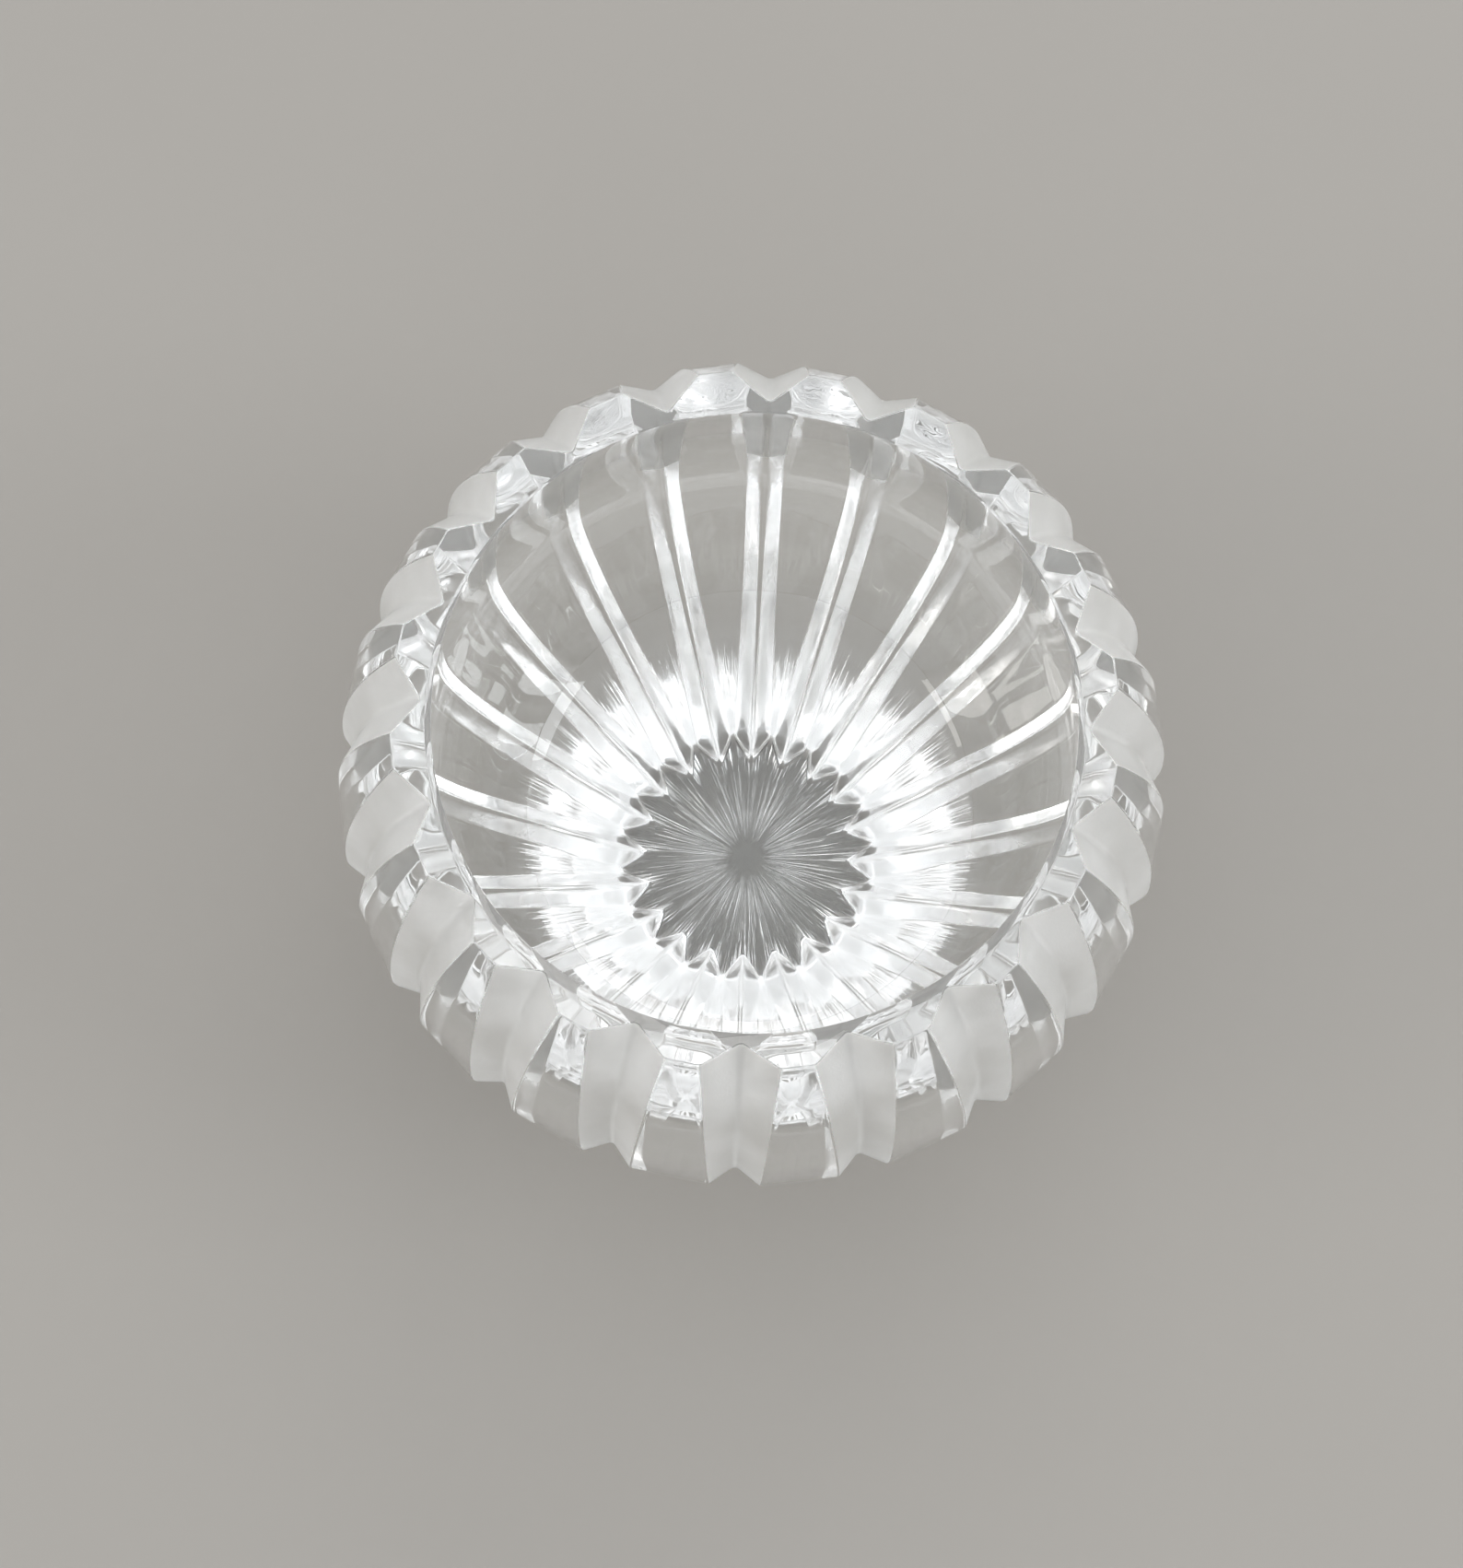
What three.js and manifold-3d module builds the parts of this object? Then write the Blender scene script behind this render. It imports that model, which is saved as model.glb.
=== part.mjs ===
// A small round dish of thick clear glass, pressed in one piece.
// Twenty V grooves run from the rim to the foot and leave twenty flat panels between them.
// Millimetres, +Z up. The origin is the centre of the foot, on the surface that the dish stands on.
import * as THREE from "three";
import { mergeVertices } from "three/addons/utils/BufferGeometryUtils.js";
import Module from "manifold-3d";

// Overall size. Radii of the outside are to the middle of a panel.
const height = 45;
const bellyRadius = 30;
const bellyHeight = 28.5;
const shoulderRadius = 25.2;
const footRadius = 9.6;
const footSlope = THREE.MathUtils.degToRad(57);

// Grooves: the radius of the V's bottom line at the rim, its depth below the panels further down,
// and half of its width across the panels.
const grooveCount = 20;
const grooveRimRadius = 23.2;
const grooveDepth = { belly: 1.25, foot: 2.0 };
const grooveHalfWidth = { shoulder: 2.75, belly: 1.85, foot: 1.4 };

// Rim: a flat bevel that falls towards the bowl.
const mouthRadius = 22.4;
const mouthDrop = 1.2;

// Bowl: a thick floor that is flat in the middle, and a wall that draws in again up to the mouth.
const floorThickness = 14;
const floorFlatRadius = 13.5;
const bowlRadius = 24.4;
const bowlWidestHeight = 27;

// Mesh steps.
const upperSteps = 10;
const lowerSteps = 12;
const wallSteps = 10;
const neckSteps = 8;
const bowlSegments = 80;
const spare = 4; // how far cut shapes run past the glass

const mouthHeight = height - mouthDrop;
const bevelSlope = mouthDrop / (shoulderRadius - mouthRadius);
const grooveRimHeight = mouthHeight + (grooveRimRadius - mouthRadius) * bevelSlope;
const halfPitch = Math.PI / grooveCount;

const vec = (x, y) => new THREE.Vector2(x, y);

// Outline of a panel's middle in (radius, height): foot to belly, then belly to shoulder.
function panelCurves() {
  const lower = new THREE.CubicBezierCurve(
    vec(footRadius, 0),
    vec(footRadius + 17.5 * Math.cos(footSlope), 17.5 * Math.sin(footSlope)),
    vec(bellyRadius, bellyHeight - 8),
    vec(bellyRadius, bellyHeight),
  );
  const upper = new THREE.CubicBezierCurve(
    vec(bellyRadius, bellyHeight),
    vec(bellyRadius, bellyHeight + 7),
    vec(shoulderRadius + 2.3, height - 3.5),
    vec(shoulderRadius, height),
  );
  return { lower, upper };
}

// Outline of a groove's bottom line above the belly, where it cuts deeper up to the rim.
function upperGrooveCurve() {
  const grooveBellyRadius = bellyRadius - grooveDepth.belly;
  return new THREE.CubicBezierCurve(
    vec(grooveBellyRadius, bellyHeight),
    vec(grooveBellyRadius, bellyHeight + 7),
    vec(grooveRimRadius + 3.9, grooveRimHeight - 2.9),
    vec(grooveRimRadius, grooveRimHeight),
  );
}

// One row of the outside for each step up from the foot to above the rim.
function outsideRows() {
  const panel = panelCurves();
  const upperGroove = upperGrooveCurve();
  const widths = grooveHalfWidth;
  const rows = [];
  for (let step = 0; step <= lowerSteps; step++) {
    const t = step / lowerSteps;
    const share = Math.pow(t, 4) * (5 - 4 * t); // stays near the foot's sizes until close to the belly
    const panelPoint = panel.lower.getPoint(t);
    const depth = THREE.MathUtils.lerp(grooveDepth.foot, grooveDepth.belly, share);
    rows.push({
      panelPoint,
      groovePoint: vec(panelPoint.x - depth, panelPoint.y),
      halfWidth: THREE.MathUtils.lerp(widths.foot, widths.belly, share),
    });
  }
  for (let step = 1; step <= upperSteps; step++) {
    const t = step / upperSteps;
    rows.push({
      panelPoint: panel.upper.getPoint(t),
      groovePoint: upperGroove.getPoint(t),
      halfWidth: THREE.MathUtils.lerp(widths.belly, widths.shoulder, t),
    });
  }
  rows.push({
    panelPoint: vec(shoulderRadius, height + spare),
    groovePoint: vec(grooveRimRadius, height + spare),
    halfWidth: widths.shoulder,
  });
  return rows;
}

// The solid outside: a lathe with three columns to each groove, which are then moved into place.
// The first column of each three is the groove's bottom, and the others are the edges of a panel.
function flutedBody() {
  const rows = outsideRows();
  const profile = [vec(0, 0), ...rows.map((r) => r.panelPoint), vec(0, height + spare)];
  const geometry = new THREE.LatheGeometry(profile, grooveCount * 3);
  const position = geometry.getAttribute("position");
  for (let index = 0; index < position.count; index++) {
    const column = Math.floor(index / profile.length);
    const row = rows[(index % profile.length) - 1];
    if (!row) continue; // a point on the axis
    const { panelPoint, groovePoint, halfWidth } = row;
    const grooveAngle = 2 * halfPitch * Math.floor(column / 3);
    const side = column % 3;
    if (side === 0) {
      position.setXYZ(
        index,
        groovePoint.x * Math.sin(grooveAngle),
        groovePoint.y,
        groovePoint.x * Math.cos(grooveAngle),
      );
      continue;
    }
    const panelAngle = grooveAngle + halfPitch;
    const halfPanel = panelPoint.x * Math.tan(halfPitch) - halfWidth;
    const along = side === 1 ? -halfPanel : halfPanel;
    position.setXYZ(
      index,
      panelPoint.x * Math.sin(panelAngle) + along * Math.cos(panelAngle),
      panelPoint.y,
      panelPoint.x * Math.cos(panelAngle) - along * Math.sin(panelAngle),
    );
  }
  return geometry;
}

// The hollow of the bowl with the rim's bevel above it.
function bowlHollow() {
  const wall = new THREE.CubicBezierCurve(
    vec(floorFlatRadius, floorThickness),
    vec(floorFlatRadius + 5.5, floorThickness),
    vec(bowlRadius, bowlWidestHeight - 6),
    vec(bowlRadius, bowlWidestHeight),
  );
  const neck = new THREE.CubicBezierCurve(
    vec(bowlRadius, bowlWidestHeight),
    vec(bowlRadius, bowlWidestHeight + 1),
    vec(mouthRadius + 2, mouthHeight - 2.1),
    vec(mouthRadius, mouthHeight),
  );
  const profile = [vec(0, floorThickness)];
  profile.push(...wall.getPoints(wallSteps));
  profile.push(...neck.getPoints(neckSteps).slice(1));
  const outer = bellyRadius + spare;
  const bevelTop = mouthHeight + (outer - mouthRadius) * bevelSlope;
  profile.push(vec(outer, bevelTop));
  profile.push(vec(outer, bevelTop + spare));
  profile.push(vec(0, bevelTop + spare));
  return new THREE.LatheGeometry(profile, bowlSegments);
}

const manifold = await Module();
manifold.setup();

// A lathe turns about Y, so it is stood up on Z before it becomes a solid.
function solid(geometry) {
  const upright = geometry.clone().rotateX(Math.PI / 2);
  upright.deleteAttribute("normal");
  upright.deleteAttribute("uv");
  const merged = mergeVertices(upright, 1e-4);
  const mesh = new manifold.Mesh({
    numProp: 3,
    vertProperties: new Float32Array(merged.getAttribute("position").array),
    triVerts: new Uint32Array(merged.index.array),
  });
  return new manifold.Manifold(mesh);
}

function geometryOf(shape) {
  const mesh = shape.getMesh();
  const geometry = new THREE.BufferGeometry();
  geometry.setAttribute("position", new THREE.BufferAttribute(mesh.vertProperties, 3));
  geometry.setIndex(new THREE.BufferAttribute(mesh.triVerts, 1));
  geometry.computeVertexNormals();
  return geometry;
}

const glass = new THREE.MeshStandardMaterial({
  color: 0xe6ebe9,
  roughness: 0.12,
  metalness: 0,
  transparent: true,
  opacity: 0.35,
});

const dish = new THREE.Mesh(geometryOf(solid(flutedBody()).subtract(solid(bowlHollow()))), glass);
dish.name = "glass_dish";

const part = new THREE.Group();
part.add(dish);

export default part;
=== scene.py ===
import math
import random

import bpy
from mathutils import Matrix, Vector, noise


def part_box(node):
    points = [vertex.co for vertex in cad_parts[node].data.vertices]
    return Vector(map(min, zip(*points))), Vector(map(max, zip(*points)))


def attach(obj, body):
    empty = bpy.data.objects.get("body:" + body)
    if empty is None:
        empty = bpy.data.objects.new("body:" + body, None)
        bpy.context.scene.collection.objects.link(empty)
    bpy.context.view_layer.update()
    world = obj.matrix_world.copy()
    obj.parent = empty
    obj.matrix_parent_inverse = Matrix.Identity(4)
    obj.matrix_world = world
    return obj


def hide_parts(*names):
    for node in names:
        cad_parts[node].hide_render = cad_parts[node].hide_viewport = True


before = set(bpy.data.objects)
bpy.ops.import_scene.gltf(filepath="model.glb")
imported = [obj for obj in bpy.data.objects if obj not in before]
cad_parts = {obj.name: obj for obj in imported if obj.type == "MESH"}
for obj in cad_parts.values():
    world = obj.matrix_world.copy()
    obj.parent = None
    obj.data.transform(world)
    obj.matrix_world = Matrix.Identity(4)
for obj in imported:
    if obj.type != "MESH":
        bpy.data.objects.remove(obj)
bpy.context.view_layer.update()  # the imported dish: one body, "root", in metres
dishLow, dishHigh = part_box("glass_dish")
halfWidth = (dishHigh.x - dishLow.x) / 2
tall = dishHigh.z
mm = 0.001
print("frame loaded:", round(2 * halfWidth / mm, 2), "mm across,", round(tall / mm, 2), "mm high")


# Camera and stage.

cameraSetup = {
    "tilt": math.radians(15.8),  # from straight down, towards the front
    "roll": math.radians(2.3),
    "distance": 0.26,  # to the middle of the mouth
    "lens": 86.5,
    "aside": math.radians(0.36),  # the dish stands a little right of the middle
    "above": math.radians(1.11),  # and a little above it
}

floorSetup = {
    "size": 3.0,
    "colour": (0.28, 0.265, 0.243, 1),
    "darker": (0.25, 0.236, 0.215, 1),
    "roughness": 0.6,
    "cloudScale": 9,
    "cloudDetail": 3,
    "drop": 0.02 * mm,  # below the foot, so that the two faces don't meet
}

lampSetup = [
    # name, place, size, power, colour
    ("softboxBehind", (0.25, 1.05, 0.95), (0.9, 0.5), 3.0, (1.0, 0.985, 0.96)),
    ("softboxRight", (0.95, -0.15, 0.60), (0.4, 0.7), 4.0, (0.94, 0.97, 1.0)),
    ("softboxLeft", (-1.0, -0.30, 0.55), (0.4, 0.6), 3.0, (1.0, 0.97, 0.94)),
]

worldSetup = [
    # sine of the angle above the horizon, colour
    (0.02, (0.42, 0.41, 0.40, 1)),
    (0.25, (1.05, 1.05, 1.05, 1)),
    (0.75, (1.22, 1.24, 1.27, 1)),
    (1.0, (1.30, 1.33, 1.37, 1)),
]

# light runs round inside the thick wall many times before it leaves
bounceSetup = {"max": 40, "transmission": 40, "glossy": 12}


def makeCamera():
    data = bpy.data.cameras.new("aboveFront")
    data.lens = cameraSetup["lens"]
    data.clip_start = 0.01
    camera = bpy.data.objects.new("aboveFront", data)
    bpy.context.scene.collection.objects.link(camera)
    bpy.context.scene.camera = camera
    tilted = Matrix.Rotation(cameraSetup["tilt"], 3, "X")
    turned = tilted @ Matrix.Rotation(cameraSetup["roll"], 3, "Z")
    right, up, back = turned.col
    toDish = right * math.tan(cameraSetup["aside"]) + up * math.tan(cameraSetup["above"]) - back
    camera.location = Vector((0, 0, tall)) - toDish.normalized() * cameraSetup["distance"]
    camera.rotation_euler = turned.to_euler()


def makeFloor():
    mesh = bpy.data.meshes.new("plainFloor")
    half = floorSetup["size"] / 2
    corners = [(-half, -half, 0), (half, -half, 0), (half, half, 0), (-half, half, 0)]
    mesh.from_pydata(corners, [], [(0, 1, 2, 3)])
    floor = bpy.data.objects.new("plainFloor", mesh)
    bpy.context.scene.collection.objects.link(floor)
    floor.location.z = -floorSetup["drop"]
    material = bpy.data.materials.new("floorPaper")
    material.use_nodes = True
    nodes, links = material.node_tree.nodes, material.node_tree.links
    shader = nodes["Principled BSDF"]
    shader.inputs["Roughness"].default_value = floorSetup["roughness"]
    where = nodes.new("ShaderNodeTexCoord")
    cloud = nodes.new("ShaderNodeTexNoise")
    cloud.inputs["Scale"].default_value = floorSetup["cloudScale"]
    cloud.inputs["Detail"].default_value = floorSetup["cloudDetail"]
    links.new(where.outputs["Object"], cloud.inputs["Vector"])
    tone = nodes.new("ShaderNodeValToRGB")
    tone.color_ramp.elements[0].color = floorSetup["darker"]
    tone.color_ramp.elements[1].color = floorSetup["colour"]
    links.new(cloud.outputs["Fac"], tone.inputs["Fac"])
    links.new(tone.outputs["Color"], shader.inputs["Base Color"])
    floor.data.materials.append(material)


def makeLamps():
    for name, place, size, power, colour in lampSetup:
        data = bpy.data.lights.new(name, "AREA")
        data.shape = "RECTANGLE"
        data.size, data.size_y = size
        data.energy = power
        data.color = colour
        lamp = bpy.data.objects.new(name, data)
        bpy.context.scene.collection.objects.link(lamp)
        lamp.location = place
        aim = Vector((0, 0, tall / 2)) - Vector(place)
        lamp.rotation_euler = aim.to_track_quat("-Z", "Y").to_euler()


def makeWorld():
    world = bpy.data.worlds.new("studioWorld")
    bpy.context.scene.world = world
    world.use_nodes = True
    nodes, links = world.node_tree.nodes, world.node_tree.links
    background = nodes["Background"]
    background.inputs["Strength"].default_value = 1.0
    where = nodes.new("ShaderNodeTexCoord")
    split = nodes.new("ShaderNodeSeparateXYZ")
    links.new(where.outputs["Generated"], split.inputs["Vector"])
    ramp = nodes.new("ShaderNodeValToRGB")
    while len(ramp.color_ramp.elements) < len(worldSetup):
        ramp.color_ramp.elements.new(0.5)
    for element, (position, colour) in zip(ramp.color_ramp.elements, worldSetup):
        element.position = position
        element.color = colour
    links.new(split.outputs["Z"], ramp.inputs["Fac"])
    links.new(ramp.outputs["Color"], background.inputs["Color"])


makeCamera()
makeFloor()
makeLamps()
makeWorld()
bpy.context.scene.view_settings.view_transform = "Standard"
bpy.context.scene.cycles.max_bounces = bounceSetup["max"]
bpy.context.scene.cycles.transmission_bounces = bounceSetup["transmission"]
bpy.context.scene.cycles.glossy_bounces = bounceSetup["glossy"]
print("camera, floor and lights placed")


# Shader groups that the materials share.

def newGroup(name, inputs, outputs):
    tree = bpy.data.node_groups.new(name, "ShaderNodeTree")
    for label, kind, value in inputs:
        socket = tree.interface.new_socket(label, in_out="INPUT", socket_type=kind)
        if value is not None:
            socket.default_value = value
    for label, kind in outputs:
        tree.interface.new_socket(label, in_out="OUTPUT", socket_type=kind)
    return tree, tree.nodes.new("NodeGroupInput"), tree.nodes.new("NodeGroupOutput")


def mathNode(tree, operation, first, second=None, third=None, clamp=False):
    node = tree.nodes.new("ShaderNodeMath")
    node.operation = operation
    node.use_clamp = clamp
    for socket, value in zip(node.inputs, (first, second, third)):
        if value is None:
            continue
        if hasattr(value, "is_output"):
            tree.links.new(value, socket)
        else:
            socket.default_value = value
    return node.outputs[0]


def noiseNode(tree, where, scale, detail=2.0, distortion=0.0):
    node = tree.nodes.new("ShaderNodeTexNoise")
    node.inputs["Scale"].default_value = scale
    node.inputs["Detail"].default_value = detail
    node.inputs["Distortion"].default_value = distortion
    tree.links.new(where, node.inputs["Vector"])
    return node.outputs["Fac"]


def mapRange(tree, value, low, high, fromLow=0.0, fromHigh=1.0):
    node = tree.nodes.new("ShaderNodeMapRange")
    node.inputs["From Min"].default_value = fromLow
    node.inputs["From Max"].default_value = fromHigh
    node.inputs["To Min"].default_value = low
    node.inputs["To Max"].default_value = high
    tree.links.new(value, node.inputs["Value"])
    return node.outputs["Result"]


def vectorNode(tree, operation, first, second=None, scale=None):
    node = tree.nodes.new("ShaderNodeVectorMath")
    node.operation = operation
    tree.links.new(first, node.inputs[0])
    if hasattr(second, "is_output"):
        tree.links.new(second, node.inputs[1])
    elif second is not None:
        node.inputs[1].default_value = second
    if hasattr(scale, "is_output"):
        tree.links.new(scale, node.inputs["Scale"])
    elif scale is not None:
        node.inputs["Scale"].default_value = scale
    return node.outputs[0]


marksSetup = {
    "smearScale": 130,
    "smearGain": 4.0,
    "hairScale": 420,
    "hairLevel": 0.62,
    "hairGain": 9.0,
    "hairTurn": (0.4, 0.9, 0.2),
    "hairStretch": (1, 14, 1),
}


# Faint wiped smears and hair scratches, as a mask from 0 to 1.
def buildHandlingMarks():
    tree, given, out = newGroup(
        "handlingMarks",
        [("Smears", "NodeSocketFloat", 0.5), ("Scratches", "NodeSocketFloat", 0.5)],
        [("Mask", "NodeSocketFloat")],
    )
    where = tree.nodes.new("ShaderNodeTexCoord").outputs["Object"]
    smear = noiseNode(tree, where, marksSetup["smearScale"], 4, 1.5)
    smear = mathNode(tree, "SUBTRACT", smear, 0.5)
    smear = mathNode(tree, "MULTIPLY", smear, marksSetup["smearGain"], clamp=True)
    stretch = tree.nodes.new("ShaderNodeMapping")
    stretch.inputs["Rotation"].default_value = marksSetup["hairTurn"]
    stretch.inputs["Scale"].default_value = marksSetup["hairStretch"]
    tree.links.new(where, stretch.inputs["Vector"])
    hair = noiseNode(tree, stretch.outputs["Vector"], marksSetup["hairScale"], 3)
    hair = mathNode(tree, "SUBTRACT", hair, marksSetup["hairLevel"])
    hair = mathNode(tree, "MULTIPLY", hair, marksSetup["hairGain"], clamp=True)
    smear = mathNode(tree, "MULTIPLY", smear, given.outputs["Smears"])
    hair = mathNode(tree, "MULTIPLY", hair, given.outputs["Scratches"])
    mask = mathNode(tree, "ADD", smear, hair, clamp=True)
    tree.links.new(mask, out.inputs["Mask"])
    return tree


# The slow ripple that a mould leaves on pressed glass, as a height.
def buildMouldRipple():
    tree, given, out = newGroup(
        "mouldRipple",
        [("Scale", "NodeSocketFloat", 300.0)],
        [("Height", "NodeSocketFloat")],
    )
    where = tree.nodes.new("ShaderNodeTexCoord").outputs["Object"]
    node = tree.nodes.new("ShaderNodeTexNoise")
    node.inputs["Detail"].default_value = 1.5
    tree.links.new(where, node.inputs["Vector"])
    tree.links.new(given.outputs["Scale"], node.inputs["Scale"])
    tree.links.new(node.outputs["Fac"], out.inputs["Height"])
    return tree


streakSetup = {
    "drift": 60.0,
    "fadeHeights": (11 * mm, 13 * mm),  # none on the bowl's floor
    "fadeRadii": (0.8 * mm, 3.5 * mm),  # none in the middle of the foot
}


# Fine streaks that run from the foot up the wall, as pressed glass leaves its mould.
def buildDrawLines():
    tree, given, out = newGroup(
        "drawLines",
        [("Count", "NodeSocketFloat", 26.0)],
        [("Height", "NodeSocketFloat")],
    )
    where = tree.nodes.new("ShaderNodeTexCoord").outputs["Object"]
    flat = vectorNode(tree, "MULTIPLY", where, (1, 1, 0))
    outward = vectorNode(tree, "NORMALIZE", flat)
    spread = vectorNode(tree, "SCALE", outward, scale=given.outputs["Count"])
    drift = vectorNode(tree, "SCALE", where, scale=streakSetup["drift"])
    at = vectorNode(tree, "ADD", spread, drift)
    split = tree.nodes.new("ShaderNodeSeparateXYZ")
    tree.links.new(where, split.inputs["Vector"])
    low = mapRange(tree, split.outputs["Z"], 1.0, 0.0, *streakSetup["fadeHeights"])
    length = tree.nodes.new("ShaderNodeVectorMath")
    length.operation = "LENGTH"
    tree.links.new(flat, length.inputs[0])
    aside = mapRange(tree, length.outputs["Value"], 0.0, 1.0, *streakSetup["fadeRadii"])
    height = mathNode(tree, "MULTIPLY", noiseNode(tree, at, 1.0, 3), low)
    height = mathNode(tree, "MULTIPLY", height, aside)
    tree.links.new(height, out.inputs["Height"])
    return tree


# The fine pits of an etched face, with cloudier and clearer patches.
def buildEtchGrain():
    tree, given, out = newGroup(
        "etchGrain",
        [("Grain", "NodeSocketFloat", 6000.0), ("Patches", "NodeSocketFloat", 260.0)],
        [("Height", "NodeSocketFloat"), ("Cloud", "NodeSocketFloat")],
    )
    where = tree.nodes.new("ShaderNodeTexCoord").outputs["Object"]
    grain = tree.nodes.new("ShaderNodeTexNoise")
    grain.inputs["Detail"].default_value = 2
    tree.links.new(where, grain.inputs["Vector"])
    tree.links.new(given.outputs["Grain"], grain.inputs["Scale"])
    patches = tree.nodes.new("ShaderNodeTexNoise")
    patches.inputs["Detail"].default_value = 3
    tree.links.new(where, patches.inputs["Vector"])
    tree.links.new(given.outputs["Patches"], patches.inputs["Scale"])
    tree.links.new(grain.outputs["Fac"], out.inputs["Height"])
    tree.links.new(patches.outputs["Fac"], out.inputs["Cloud"])
    return tree


handlingMarks = buildHandlingMarks()
mouldRipple = buildMouldRipple()
drawLines = buildDrawLines()
etchGrain = buildEtchGrain()


# Materials.

polished = {
    "tint": (0.985, 0.995, 0.992, 1),
    "ior": 1.53,
    "smooth": 0.0,
    "worn": 0.07,
    "smears": 0.35,
    "scratches": 0.6,
    "ripple": 0.012 * mm,
    "rippleScale": 260.0,
    "lines": 0.16 * mm,
    "lineCount": 42.0,
}

# what both finishes of the grooves share
etching = {"grain": 5200.0, "patches": 240.0, "cloudRange": (0.35, 0.65), "waveScale": 700.0}

# etched faces of the grooves, from the rim down to the widest ring
frosted = {
    "pale": (0.89, 0.885, 0.865, 1),
    "grey": (0.78, 0.775, 0.75, 1),
    "ior": 1.5,
    "transmission": 0.68,
    "leastRough": 0.5,
    "mostRough": 0.66,
    "pits": 0.012 * mm,
    "waves": 0.01 * mm,
}

# the same grooves below it, which the fire has smoothed
satin = {
    "pale": (0.985, 0.99, 0.985, 1),
    "grey": (0.95, 0.955, 0.95, 1),
    "ior": 1.5,
    "transmission": 0.98,
    "leastRough": 0.05,
    "mostRough": 0.18,
    "pits": 0.004 * mm,
    "waves": 0.02 * mm,
}


def placeGroup(tree, group, **values):
    node = tree.nodes.new("ShaderNodeGroup")
    node.node_tree = group
    for label, value in values.items():
        node.inputs[label].default_value = value
    return node


def bumpNode(tree, height, distance, normal=None):
    node = tree.nodes.new("ShaderNodeBump")
    node.inputs["Distance"].default_value = distance
    tree.links.new(height, node.inputs["Height"])
    if normal:
        tree.links.new(normal, node.inputs["Normal"])
    return node.outputs["Normal"]


def polishedGlass():
    material = bpy.data.materials.new("polishedGlass")
    material.use_nodes = True
    tree = material.node_tree
    shader = tree.nodes["Principled BSDF"]
    shader.inputs["Base Color"].default_value = polished["tint"]
    shader.inputs["Transmission Weight"].default_value = 1.0
    shader.inputs["IOR"].default_value = polished["ior"]
    marks = placeGroup(
        tree, handlingMarks, Smears=polished["smears"], Scratches=polished["scratches"]
    )
    rough = mapRange(tree, marks.outputs["Mask"], polished["smooth"], polished["worn"])
    tree.links.new(rough, shader.inputs["Roughness"])
    ripple = placeGroup(tree, mouldRipple, Scale=polished["rippleScale"])
    lines = placeGroup(tree, drawLines, Count=polished["lineCount"])
    rippled = bumpNode(tree, ripple.outputs["Height"], polished["ripple"])
    lined = bumpNode(tree, lines.outputs["Height"], polished["lines"], rippled)
    tree.links.new(lined, shader.inputs["Normal"])
    return material


def etchedGlass(name, look):
    material = bpy.data.materials.new(name)
    material.use_nodes = True
    tree = material.node_tree
    shader = tree.nodes["Principled BSDF"]
    shader.inputs["Transmission Weight"].default_value = look["transmission"]
    shader.inputs["IOR"].default_value = look["ior"]
    etch = placeGroup(tree, etchGrain, Grain=etching["grain"], Patches=etching["patches"])
    cloud = mapRange(tree, etch.outputs["Cloud"], 0.0, 1.0, *etching["cloudRange"])
    shade = tree.nodes.new("ShaderNodeMix")
    shade.data_type = "RGBA"
    shade.inputs["A"].default_value = look["grey"]
    shade.inputs["B"].default_value = look["pale"]
    tree.links.new(cloud, shade.inputs["Factor"])
    tree.links.new(shade.outputs["Result"], shader.inputs["Base Color"])
    rough = mapRange(tree, cloud, look["leastRough"], look["mostRough"])
    tree.links.new(rough, shader.inputs["Roughness"])
    waves = placeGroup(tree, mouldRipple, Scale=etching["waveScale"])
    waved = bumpNode(tree, waves.outputs["Height"], look["waves"])
    pitted = bumpNode(tree, etch.outputs["Height"], look["pits"], waved)
    tree.links.new(pitted, shader.inputs["Normal"])
    return material


print("materials built")


# The dish.

# Points are (radius, height). A radius is to the middle of a panel, as a share of the half width,
# and a height is a share of the height.
dish = {
    "grooves": 20,
    "footEnd": (0.3191, 0.0000),
    "footPull": (0.6359, 0.3260),
    "bellyLowPull": (0.9972, 0.4554),
    "belly": (0.9972, 0.6331),
    "bellyHighPull": (0.9972, 0.7885),
    "shoulderPull": (0.9141, 0.9218),
    "shoulder": (0.8376, 0.9996),
    "grooveBelly": (0.9556, 0.6331),
    "grooveBellyHighPull": (0.9556, 0.7885),
    "grooveRimPull": (0.9008, 0.9161),
    "grooveRim": (0.7712, 0.9805),
    "grooveDepth": {"foot": 2.0 * mm, "belly": 1.25 * mm},
    "grooveHalf": {"foot": 1.4 * mm, "belly": 1.85 * mm, "rim": 2.75 * mm},
    "mouth": (0.7446, 0.9729),
    "neckPull": (0.8110, 0.9263),
    "widestPull": (0.8110, 0.6219),
    "widest": (0.8110, 0.5997),
    "wallPull": (0.8110, 0.4665),
    "floorPull": (0.6316, 0.3110),
    "floorEdge": (0.4487, 0.3110),
    "grooveRound": 0.38 * mm,
    "panelRound": 0.22 * mm,
    "rimRound": 0.28 * mm,
    "lipRound": 0.16 * mm,
    "facetLimit": 0.42,  # most of a facet that its rounding may take
    "edgeLimit": 0.45,
    "leastPanel": 0.05 * mm,
    "neckBunch": 1.4,
    "uneven": math.radians(0.5),
    "ripple": 0.035 * mm,
    "rippleSize": 7 * mm,
    "rippleFade": 2 * mm,
}

steps = {"lower": 40, "upper": 34, "edge": 4, "neck": 26, "wall": 30, "floor": 8, "foot": 5}
satinStop = 3  # rows below the widest ring where the frosting ends
finishSlots = {"polished": 0, "frosted": 1, "satin": 2}

# steps across half a groove's rounded bottom, its face, a panel's corner and the panel
across = {"bottom": 3, "face": 5, "corner": 4, "panel": 6}


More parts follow.
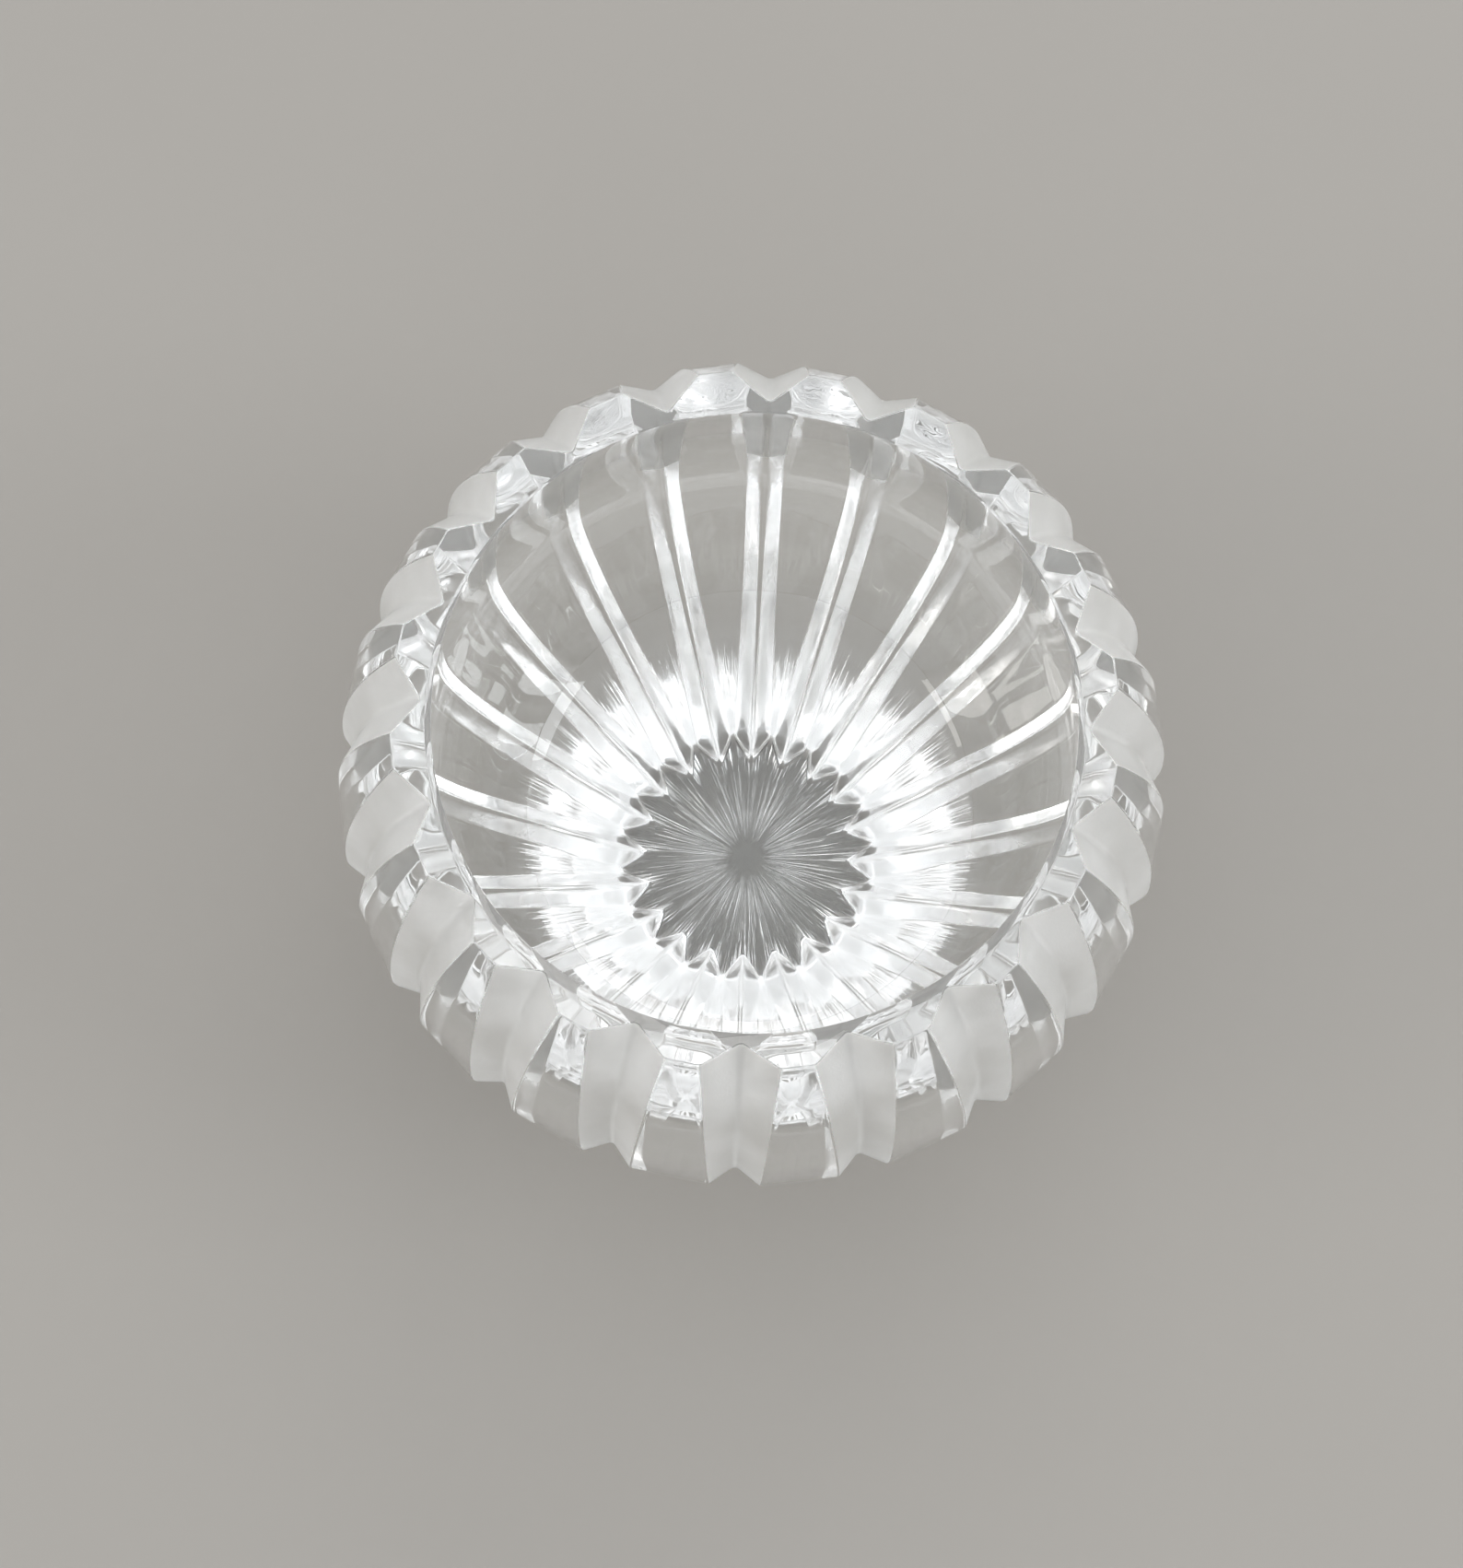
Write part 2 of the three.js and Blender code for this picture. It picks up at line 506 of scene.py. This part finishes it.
def place(name):
    radius, height = dish[name]
    return Vector((radius * halfWidth, height * tall))


def bezier(points, t):
    a, b, c, d = points
    s = 1 - t
    return a * s**3 + b * 3 * s * s * t + c * 3 * s * t * t + d * t**3


def lerp(a, b, t):
    return a + (b - a) * t


# The rounded path from one groove's bottom, over the panel, to the next groove's bottom.
def acrossGroove(grooveBefore, cornerBefore, cornerAfter, grooveAfter, beforeGroove, afterGroove):
    corners = [
        (beforeGroove, grooveBefore, cornerBefore, dish["grooveRound"]),
        (grooveBefore, cornerBefore, cornerAfter, dish["panelRound"]),
        (cornerBefore, cornerAfter, grooveAfter, dish["panelRound"]),
        (cornerAfter, grooveAfter, afterGroove, dish["grooveRound"]),
    ]
    rounds = []
    for before, corner, after, radius in corners:
        inward, outward = before - corner, after - corner
        limit = dish["facetLimit"]
        reach = min(radius, limit * inward.length, limit * outward.length)
        start = corner + inward.normalized() * reach
        end = corner + outward.normalized() * reach
        rounds.append((start, corner, end))

    def curve(corner, low, high, count):
        start, middle, end = corner
        found = []
        for i in range(count + 1):
            t = lerp(low, high, i / count)
            found.append(start * (1 - t) ** 2 + middle * 2 * t * (1 - t) + end * t * t)
        return found

    def straight(before, after, count):
        return [before[2].lerp(after[0], i / count) for i in range(1, count)]

    path = curve(rounds[0], 0.5, 1, across["bottom"])
    path += straight(rounds[0], rounds[1], across["face"])
    path += curve(rounds[1], 0, 1, across["corner"])
    path += straight(rounds[1], rounds[2], across["panel"])
    path += curve(rounds[2], 0, 1, across["corner"])
    path += straight(rounds[2], rounds[3], across["face"])
    path += curve(rounds[3], 0, 0.5, across["bottom"])
    return path[:-1]  # the next groove starts with the last point


# The panel's clear faces lie between these two columns.
clearFrom = across["bottom"] + across["face"] + across["corner"] // 2
clearTo = clearFrom + across["corner"] + across["panel"]
columnsPerGroove = 2 * (across["bottom"] + across["face"] + across["corner"]) + across["panel"]


# Where each groove stands: evenly round, give or take the unevenness of a hand-finished mould.
def grooveAngles():
    draw = random.Random(7)
    even = 2 * math.pi / dish["grooves"]
    count = dish["grooves"]
    return [-math.pi / 2 + k * even + draw.uniform(-1, 1) * dish["uneven"] for k in range(count)]


def onTurn(angle, point):
    return Vector((math.cos(angle), math.sin(angle), 0)) * point.x + Vector((0, 0, point.y))


def outsideRow(panelPoint, groovePoint, half, angles):
    count = dish["grooves"]
    bottoms, rights, lefts = [], [], []
    for k in range(count):
        here = angles[k]
        after = angles[(k + 1) % count] + (2 * math.pi if k == count - 1 else 0)
        turn, spread = (here + after) / 2, (after - here) / 2
        bottoms.append(onTurn(here, groovePoint))
        reach = max(panelPoint.x * math.tan(spread) - half, dish["leastPanel"])
        face = onTurn(turn, panelPoint)
        along = Vector((-math.sin(turn), math.cos(turn), 0)) * reach
        rights.append(face - along)
        lefts.append(face + along)
    row = []
    for k in range(count):
        j = (k + 1) % count
        row += acrossGroove(bottoms[k], rights[k], lefts[k], bottoms[j], lefts[k - 1], rights[j])
    return row


# Rows of the outside from the foot up to the rim's outer edge.
def outsideRows(angles):
    half, depth = dish["grooveHalf"], dish["grooveDepth"]
    panelLower = [place(n) for n in ("footEnd", "footPull", "bellyLowPull", "belly")]
    panelUpper = [place(n) for n in ("belly", "bellyHighPull", "shoulderPull", "shoulder")]
    grooveNames = ("grooveBelly", "grooveBellyHighPull", "grooveRimPull", "grooveRim")
    grooveUpper = [place(n) for n in grooveNames]
    rows = []
    for i in range(steps["lower"]):
        t = i / steps["lower"]
        share = t**4 * (5 - 4 * t)  # near the foot's sizes until close to the belly
        face = bezier(panelLower, t)
        bottom = face - Vector((lerp(depth["foot"], depth["belly"], share), 0))
        rows.append(outsideRow(face, bottom, lerp(half["foot"], half["belly"], share), angles))
    for i in range(steps["upper"] + 1):
        t = i / steps["upper"]
        width = lerp(half["belly"], half["rim"], t)
        rows.append(outsideRow(bezier(panelUpper, t), bezier(grooveUpper, t), width, angles))
    return rows


# The smooth bowl, one point to a column, from the lip to near the middle of the floor.
def bowlRadii():
    neck = [place(n) for n in ("mouth", "neckPull", "widestPull", "widest")]
    wall = [place(n) for n in ("widest", "wallPull", "floorPull", "floorEdge")]
    bunch = dish["neckBunch"]
    found = [bezier(neck, (i / steps["neck"]) ** bunch) for i in range(steps["neck"])]
    found += [bezier(wall, i / steps["wall"]) for i in range(steps["wall"])]
    edge = place("floorEdge")
    flat = steps["floor"]
    found += [Vector((edge.x * (1 - i / flat), edge.y)) for i in range(flat)]
    return found


def roundedColumn(points, rounds):
    out = []
    for i, point in enumerate(points):
        if i not in rounds:
            out.append(point)
            continue
        before, after = points[i - 1] - point, points[i + 1] - point
        limit = dish["edgeLimit"]
        reach = min(rounds[i], limit * before.length, limit * after.length)
        start = point + before.normalized() * reach
        end = point + after.normalized() * reach
        for k in range(steps["edge"] + 1):
            t = k / steps["edge"]
            out.append(start * (1 - t) ** 2 + point * 2 * t * (1 - t) + end * t * t)
    return out


def ripple(point):
    size = dish["rippleSize"]
    return dish["ripple"] * noise.noise(point / size, noise_basis="PERLIN_ORIGINAL")


def buildDish():
    angles = grooveAngles()
    rows = outsideRows(angles)
    columns = len(rows[0])
    bowl = bowlRadii()
    mouth = place("mouth")
    bevel = (place("shoulder").y - mouth.y) / (place("shoulder").x - mouth.x)
    grid = []
    for c in range(columns):
        outer = [row[c].copy() for row in rows]
        edge = outer[-1]
        radius = math.hypot(edge.x, edge.y)
        edge.z = mouth.y + (radius - mouth.x) * bevel
        outward = Vector((edge.x, edge.y, 0)).normalized()
        inside = [outward * p.x + Vector((0, 0, p.y)) for p in [mouth] + bowl[1:]]
        line = outer + [edge.lerp(inside[0], 0.5)] + inside
        edgeAt, lipAt = len(outer) - 1, len(outer) + 1
        grid.append(roundedColumn(line, {edgeAt: dish["rimRound"], lipAt: dish["lipRound"]}))
    rowCount = len(grid[0])
    vertices = [grid[c][r] for r in range(rowCount) for c in range(columns)]
    faces, slots = [], []
    grooveFaces = steps["lower"] + steps["upper"] + 2
    satinFaces = steps["lower"] - satinStop
    for r in range(rowCount - 1):
        for c in range(columns):
            d = (c + 1) % columns
            here, above = r * columns, (r + 1) * columns
            faces.append((here + c, here + d, above + d, above + c))
            inPanel = clearFrom <= c % columnsPerGroove < clearTo
            if r >= grooveFaces or inPanel:
                slots.append(finishSlots["polished"])
            else:
                slots.append(finishSlots["satin" if r < satinFaces else "frosted"])
    # the foot: the star shrunk towards its middle, then a fan
    ring = list(range(columns))
    for i in range(1, steps["foot"]):
        share = 1 - i / steps["foot"]
        start = len(vertices)
        vertices += [Vector((line[0].x * share, line[0].y * share, 0)) for line in grid]
        for c in range(columns):
            d = (c + 1) % columns
            faces.append((start + c, start + d, ring[d], ring[c]))
            slots.append(finishSlots["polished"])
        ring = list(range(start, start + columns))
    vertices.append(Vector((0, 0, 0)))
    for c in range(columns):
        faces.append((len(vertices) - 1, ring[(c + 1) % columns], ring[c]))
        slots.append(finishSlots["polished"])
    # the middle of the bowl's floor
    ring = list(range((rowCount - 1) * columns, rowCount * columns))
    vertices.append(Vector((0, 0, place("floorEdge").y)))
    for c in range(columns):
        faces.append((ring[c], ring[(c + 1) % columns], len(vertices) - 1))
        slots.append(finishSlots["polished"])
    mesh = bpy.data.meshes.new("pressedDish")
    mesh.from_pydata(vertices, [], faces)
    mesh.materials.append(polishedGlass())
    mesh.materials.append(etchedGlass("frostedGlass", frosted))
    mesh.materials.append(etchedGlass("satinGlass", satin))
    mesh.polygons.foreach_set("material_index", slots)
    mesh.polygons.foreach_set("use_smooth", [True] * len(faces))
    mesh.update()
    # the mould's slow unevenness, which fades out at the foot
    normals = [v.normal.copy() for v in mesh.vertices]
    for vertex, normal in zip(mesh.vertices, normals):
        fade = min(vertex.co.z / dish["rippleFade"], 1)
        vertex.co += normal * (ripple(vertex.co) - dish["ripple"]) * fade
    mesh.update()
    piece = bpy.data.objects.new("pressedDish", mesh)
    bpy.context.scene.collection.objects.link(piece)
    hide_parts("glass_dish")
    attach(piece, "root")
    return piece


pressedDish = buildDish()
print("dish built:", len(pressedDish.data.vertices), "points")
